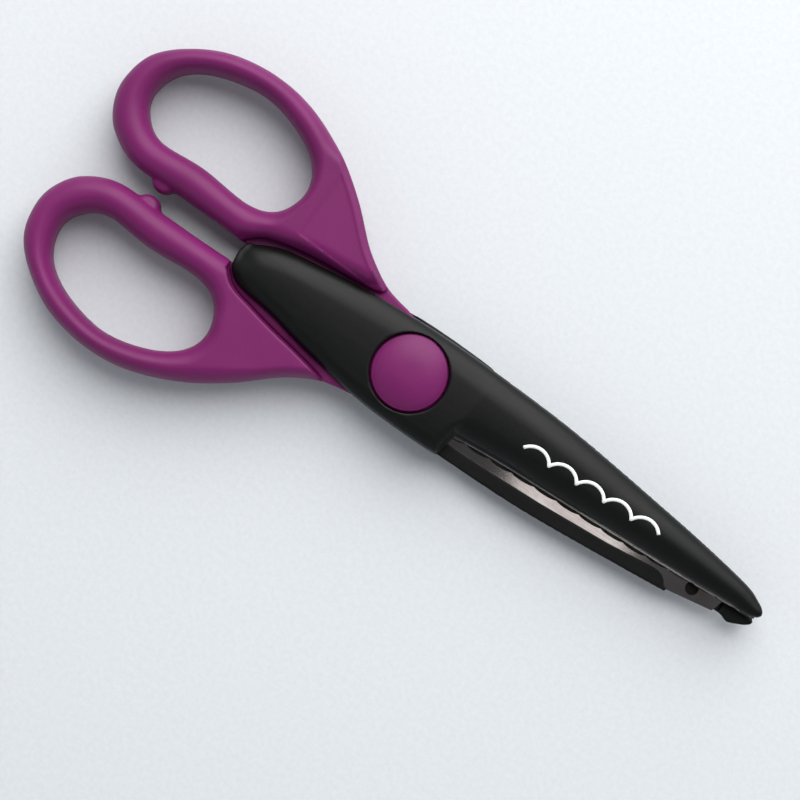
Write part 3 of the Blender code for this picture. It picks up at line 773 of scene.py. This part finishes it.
def blade_mesh(side):
    """Corrugated steel with a ground edge; side is 1 for the front blade and -1 for the rear."""
    rows = np.concatenate([np.linspace(BLADE_START, 16.6, 5),
                           np.arange(FIRST_CUSP - 1.2, FIRST_CUSP, 0.3),
                           np.arange(FIRST_CUSP, BLADE_END, SCALLOP_PITCH / SCALLOP_STEPS)])
    wave = side * scallop(rows) + NEST_GAP
    start = np.clip((FIRST_CUSP - rows) / 1.6, 0, 1)
    first = side * scallop(np.array([FIRST_CUSP]))[0] + NEST_GAP
    wave = np.where(rows < FIRST_CUSP, first + (BLADE_FLAT - first) * start, wave)
    top = BLADE_FLAT + BLADE_THICKNESS
    rim = on_arc(spline(COVER_BLADE_INNER, 8) + COVER_TIP_INNER[:2], rows)
    edge = on_arc(CUTTING_EDGE, rows) + EDGE_SETBACK - LEAN * (wave - NEST_GAP)
    hidden = 0.35 * fade(rows, *LAND_FADE)
    land = np.maximum(rim - LAND_OVERHANG + hidden, edge + LEAST_BEVEL)
    limit, spine = on_arc(SCALLOP_LIMIT, rows), on_arc(STEEL_SPINE, rows) + 0.15

    ys = [edge + (limit - edge) * k / INNER_STEPS for k in range(INNER_STEPS + 1)]
    zs = [wave] * (INNER_STEPS + 1)
    for k in range(1, TRANSITION_STEPS + 1):
        share = k / TRANSITION_STEPS
        ys.append(limit + TRANSITION * share)
        zs.append(wave + (BLADE_FLAT - wave) * fade(share, 0, 1))
    for y in (limit + TRANSITION + 0.1, limit + TRANSITION + 0.3, spine):
        ys.append(y)
        zs.append(np.full_like(rows, BLADE_FLAT))
    last = len(ys) - 1
    ys = [np.minimum(y, spine - 0.02 * (last - k)) for k, y in enumerate(ys)]
    back = [(spine, top), (limit + TRANSITION, top), (limit, top), ((limit + rim) / 2, top),
            (rim + 0.6, top), (land, top), (land - LAND_CHAMFER[0], top - LAND_CHAMFER[1])]
    ys += [np.minimum(y, spine) for y, _ in back]
    zs += [np.full_like(rows, z) for _, z in back]
    total = len(ys)
    y = np.stack(ys, axis=1)
    z = np.stack(zs, axis=1)
    x = np.sqrt(np.maximum(rows[:, None] ** 2 - y ** 2, 0))
    vertices = np.stack([x, y, z], axis=2).reshape(-1, 3)
    base = (np.arange(len(rows) - 1) * total)[:, None]
    k = np.arange(total)[None, :]
    j = (k + 1) % total
    faces = np.stack([base + k, base + total + k, base + total + j, base + j], axis=2)
    mesh = array_mesh("blade", vertices, faces.reshape(-1, 4))
    column = np.tile(np.arange(total), len(rows) - 1)
    # The bevel faces take the second finish, steel painted near black as painted shade; the land
    # and its chamfer take the rough land steel.
    zone = (column == total - 1) + 2 * ((column == total - 2) | (column == total - 3))
    mesh.polygons.foreach_set("material_index", zone.astype(np.int32))
    bm = bmesh.new()
    bm.from_mesh(mesh)
    bm.verts.ensure_lookup_table()
    for end in (range(total), range(len(vertices) - total, len(vertices))):
        bm.faces.new([bm.verts[i] for i in end])
    bmesh.ops.remove_doubles(bm, verts=bm.verts, dist=MERGE)
    bmesh.ops.recalc_face_normals(bm, faces=bm.faces)
    bm.to_mesh(mesh)
    bm.free()
    return mesh


def tang_mesh():
    """Round root of the blade about the pivot."""
    bm = bmesh.new()
    low, high = (17.0, -5.1), (17.0, 6.6)
    arc = []
    for point, side in ((low, -1), (high, 1)):
        lean = math.acos(TANG_RADIUS / math.hypot(*point))
        arc.append(math.atan2(point[1], point[0]) + side * lean)
    start, end = arc[1], arc[0] + 2 * math.pi
    turns = [start + (end - start) * k / 64 for k in range(65)]
    outline = [low, high] + [(TANG_RADIUS * math.cos(a), TANG_RADIUS * math.sin(a)) for a in turns]
    rims = []
    for loop in (outline, circle(PIVOT_BORE)):
        rings = [[bm.verts.new((x, y, z)) for x, y in loop] for z in TANG_Z]
        for a in range(len(loop)):
            b = (a + 1) % len(loop)
            bm.faces.new((rings[0][a], rings[0][b], rings[1][b], rings[1][a]))
        rims.append(rings)
    for level in (0, 1):
        edges = []
        for rings in rims:
            ring = rings[level]
            for a, b in zip(ring, ring[1:] + ring[:1]):
                edges.append(next(e for e in a.link_edges if b in e.verts))
        bmesh.ops.triangle_fill(bm, edges=edges, use_beauty=True)
    return bmesh_mesh("tang", bm)


def circle(radius, segments=64):
    turn = [2 * math.pi * k / segments for k in range(segments)]
    return [(radius * math.cos(a), radius * math.sin(a)) for a in turn]


def cap_mesh():
    """Low dome with a rounded rim, hollow over the nut or the bolt's head."""
    rim = CAP_RADIUS - CAP_ROUND
    dome = []
    for k in range(41):
        radius = rim * k / 40
        dome.append((radius, CAP_TOP - CAP_RISE * (radius / CAP_RADIUS) ** CAP_POWER))
    rim_z = dome[-1][1]
    for k in range(1, 9):
        turn = math.pi / 2 * k / 8
        dome.append((rim + CAP_ROUND * math.sin(turn), rim_z - CAP_ROUND * (1 - math.cos(turn))))
    return bmesh_mesh("cap", turned(dome + [(CAP_RADIUS, CAP_FOOT)] + CAP_HOLLOW))


def screw_mesh():
    """Flat-headed screw with a cross recess in its head, about the axis of its hole."""
    block = Field((-2.4, -2.4, 0.3), (2.4, 2.4, 4.6), SCREW_CELL)
    body = block.plate(block.disc(SCREW_HEAD), *SCREW_HEAD_Z, 0.3)
    body = np.minimum(body, block.plate(block.disc(SCREW_SHANK), 1.2, SCREW_END, 0.15))
    half_width, half_length, depth = CROSS
    bars = [half_width - np.maximum(np.abs(a), np.abs(b) - half_length)
            for a, b in ((block.x, block.y), (block.y, block.x))]
    recess = block.plate(np.maximum(*bars), 0.0, SCREW_HEAD_Z[0] + depth, 0.15)
    return net_mesh("screw", block, cut(body, recess, 0.12))


def rivet_mesh():
    """Rivet with a low domed head, about the axis of its hole."""
    turns = [math.pi / 2 * k / 12 for k in range(13)]
    head = [(RIVET_HEAD * math.sin(turn), RIVET_TOP + RIVET_DOME * (1 - math.cos(turn)))
            for turn in turns]
    shank = [(RIVET_SHANK, RIVET_TOP + RIVET_DOME), (RIVET_SHANK, RIVET_END), (0, RIVET_END)]
    return bmesh_mesh("rivet", turned(head + shank, 48))


def scallop_rows():
    """Pairs of points over and under the printed line, each with the number of its arc."""
    pitch, stroke = PRINT_PITCH, PRINT_STROKE
    radius = (pitch ** 2 / 4 + PRINT_SAGITTA ** 2) / (2 * PRINT_SAGITTA)
    half_turn = math.asin(pitch / 2 / radius)
    base = math.cos(half_turn) * radius
    notch = math.sqrt((radius + stroke) ** 2 - pitch ** 2 / 4)
    rows = []
    for arc in range(PRINT_ARCS):
        turns = [half_turn * (2 * k / PRINT_STEPS - 1) for k in range(PRINT_STEPS + 1)]
        first, last = arc == 0, arc == PRINT_ARCS - 1
        for turn in turns[1 if first else 0:-1 if last else None]:
            over = ((radius + stroke) * math.sin(turn), (radius + stroke) * math.cos(turn))
            if abs(over[0]) > pitch / 2 and 0 < arc + (turn > 0) < PRINT_ARCS:
                over = (math.copysign(pitch / 2, turn), notch)
            under = ((radius - stroke) * math.sin(turn), (radius - stroke) * math.cos(turn))
            rows.append((arc, base, over, under))
        for k in range(1, 1 if last else 8):
            turn = half_turn * (1 - k / 4)
            under = (pitch / 2 - stroke * math.sin(turn), base - stroke * math.cos(turn))
            rows.append((arc, base, (pitch / 2, notch), under))
    return rows


def scallop_print():
    """The white scalloped line printed along the cover: five arcs with rounded valleys."""
    (left, bottom), pitch = PRINT_START, PRINT_PITCH
    spot = Field((left - 1, -1.0, 0.0), (left + PRINT_ARCS * pitch + 1, 6.0, 0.1), 0.1)
    crown = cover_shape(spot)
    bm = bmesh.new()
    rings = []
    for arc, base, *pair in scallop_rows():
        ring = []
        for across, up in pair:
            share = arc + 0.5 + across / pitch
            x, y = left + pitch * share, bottom + PRINT_RISE * share + up - base
            spots = round((x - spot.low[0]) / spot.cell), round((y - spot.low[1]) / spot.cell)
            ring += [bm.verts.new((x, y, crown[spots] + lift)) for lift in PRINT_LIFT]
        rings.append([ring[0], ring[2], ring[3], ring[1]])
    for a, b in zip(rings, rings[1:]):
        for k in range(4):
            j = (k + 1) % 4
            bm.faces.new((a[k], a[j], b[j], b[k]))
    bm.faces.new(rings[0])
    bm.faces.new(rings[-1][::-1])
    bmesh.ops.remove_doubles(bm, verts=bm.verts, dist=MERGE)
    bmesh.ops.dissolve_degenerate(bm, edges=bm.edges, dist=MERGE)
    return bmesh_mesh("print", bm)


def build_halves(finishes):
    handle, cap, screw, rivet = handle_mesh(), cap_mesh(), screw_mesh(), rivet_mesh()
    for half, side in (("front", 1), ("rear", -1)):
        body = f"{half}_half"
        add_piece(f"{half}_handle_moulding", handle.copy(), half, body, finishes["purple"],
                  [f"{half}_handle"])
        add_piece(f"{half}_cover_moulding", cover_mesh(side), half, body, finishes["black"],
                  [f"{half}_blade_cover"])
        add_piece(f"{half}_cap_moulding", cap.copy(), half, body, finishes["purple"],
                  [f"{half}_pivot_cap"], sharp=40)
        add_piece(f"{half}_blade_sheet", blade_mesh(side), half, body,
                  [finishes["blade"], finishes["ground"], finishes["land"]],
                  [f"{half}_blade"], sharp=30)
        add_piece(f"{half}_blade_tang", tang_mesh(), half, body, finishes["blade"], (),
                  sharp=30)
        for kind, spots, source, finish in (("screw", SCREWS, screw, "zinc"),
                                            ("rivet", RIVETS, rivet, "dark")):
            for name, (x, y) in spots.items():
                mesh = source.copy()
                mesh.transform(Matrix.Translation((x, y, 0)))
                add_piece(f"{half}_{name}_{kind}_turned", mesh, half, body, finishes[finish],
                          [f"{half}_{name}_{kind}"], sharp=50)
    add_piece("front_cover_print", scallop_print(), "front", "front_half", finishes["print"])


def dress_cad_nodes(finishes):
    """Gives the CAD nodes that are shown as they are their finish."""
    for name, node in frame["nodes"].items():
        if node.hide_render:
            continue
        finish = finishes["zinc"]
        if name == "pivot_spacer":
            finish = finishes["nylon"]
        elif name.endswith("washer"):
            finish = finishes["dark"]
        node.data.materials.clear()
        node.data.materials.append(finish)


# ---------------------------------------------------------------- stage

VIEW_CENTRE = (1.56 * MM, -5.46 * MM)
VIEW_TURN = math.radians(35.25)
VIEW_WIDTH = 160 * MM
VIEW_DISTANCE = 400 * MM
LIGHT_DISTANCE = 0.9
WINDOW = (-0.14, 0.70, 0.70)            # direction
WINDOW_SIZE = 1.2
WINDOW_POWER = 15.0
PANEL = (0.15, 0.0, 1.0)                # small light overhead, which the steel reflects
PANEL_SIZE = 0.088
PANEL_POWER = 0.022
SKY_COLOUR = (0.92, 0.96, 1.0, 1.0)
SKY_STRENGTH = (0.68, 0.07)             # up to 30 degrees above the horizon, and overhead
SKY_SIDES = (1.05, 1.1)                 # share of that towards -y and towards +y


def add_light(name, size, power, direction, colour=(1, 1, 1)):
    light = bpy.data.lights.new(name, "AREA")
    light.shape = "DISK"
    light.size = size
    light.energy = power
    light.color = colour
    obj = bpy.data.objects.new(name, light)
    obj.location = Vector(direction).normalized() * LIGHT_DISTANCE
    obj.rotation_euler = Vector(direction).to_track_quat("Z", "Y").to_euler()
    bpy.context.scene.collection.objects.link(obj)


def add_world():
    """Pale surroundings, darker overhead and slightly darker away from the window."""
    world = bpy.data.worlds.new("studio")
    world.use_nodes = True
    tree = world.node_tree
    node = tree.nodes.new
    direction = node("ShaderNodeTexCoord").outputs["Generated"]
    parts = node("ShaderNodeSeparateXYZ")
    tree.links.new(direction, parts.inputs[0])
    height = node("ShaderNodeMapRange")
    height.inputs["From Min"].default_value = 0.5
    height.inputs["To Min"].default_value, height.inputs["To Max"].default_value = SKY_STRENGTH
    tree.links.new(parts.outputs["Z"], height.inputs["Value"])
    side = node("ShaderNodeMapRange")
    side.inputs["From Min"].default_value = -1.0
    side.inputs["To Min"].default_value, side.inputs["To Max"].default_value = SKY_SIDES
    tree.links.new(parts.outputs["Y"], side.inputs["Value"])
    both = node("ShaderNodeMath")
    both.operation = "MULTIPLY"
    tree.links.new(height.outputs[0], both.inputs[0])
    tree.links.new(side.outputs[0], both.inputs[1])
    back = tree.nodes["Background"]
    back.inputs["Color"].default_value = SKY_COLOUR
    tree.links.new(both.outputs[0], back.inputs["Strength"])
    bpy.context.scene.world = world


def add_stage():
    bm = bmesh.new()
    bmesh.ops.create_grid(bm, x_segments=1, y_segments=1, size=3.0)
    mesh = bmesh_mesh("floor", bm)
    mesh.materials.append(paper())
    floor = bpy.data.objects.new("floor", mesh)
    bpy.context.scene.collection.objects.link(floor)
    add_world()
    add_light("window", WINDOW_SIZE, WINDOW_POWER, WINDOW, (1.0, 0.99, 0.97))
    add_light("top_panel", PANEL_SIZE, PANEL_POWER, PANEL)
    bpy.context.scene.view_settings.view_transform = "Standard"
    camera = bpy.data.cameras.new("camera")
    camera.sensor_width = 36.0
    camera.lens = camera.sensor_width * VIEW_DISTANCE / VIEW_WIDTH
    obj = bpy.data.objects.new("camera", camera)
    obj.location = (*VIEW_CENTRE, MID.z + VIEW_DISTANCE)
    obj.rotation_euler = (0, 0, VIEW_TURN)
    bpy.context.scene.collection.objects.link(obj)
    bpy.context.scene.camera = obj


def build():
    finishes = {
        "purple": purple_plastic(),
        "black": black_plastic(),
        "blade": steel("blade_steel", (0.64, 0.59, 0.575), (0.49, 0.425, 0.41), 0.05),
        # Steel of the ground bevel, painted near black: painted shade for the bevel, which lies
        # under the cover's rim.
        "ground": steel("bevel_painted_shade_steel", (0.03, 0.028, 0.025), (0.012, 0.011, 0.010), 0.4,
                        (2600.0, 60.0, 60.0)),
        "land": steel("land_steel", (0.42, 0.40, 0.38), (0.32, 0.30, 0.28), 0.42),
        "zinc": steel("zinc_steel", (0.55, 0.54, 0.52), (0.36, 0.34, 0.32), 0.35,
                      (900.0, 900.0, 900.0)),
        "dark": steel("darkened_steel", (0.035, 0.032, 0.03), (0.015, 0.013, 0.012), 0.42,
                      (900.0, 900.0, 900.0)),
        "nylon": nylon(),
        "print": white_print(),
    }
    build_halves(finishes)
    dress_cad_nodes(finishes)
    add_stage()


build()
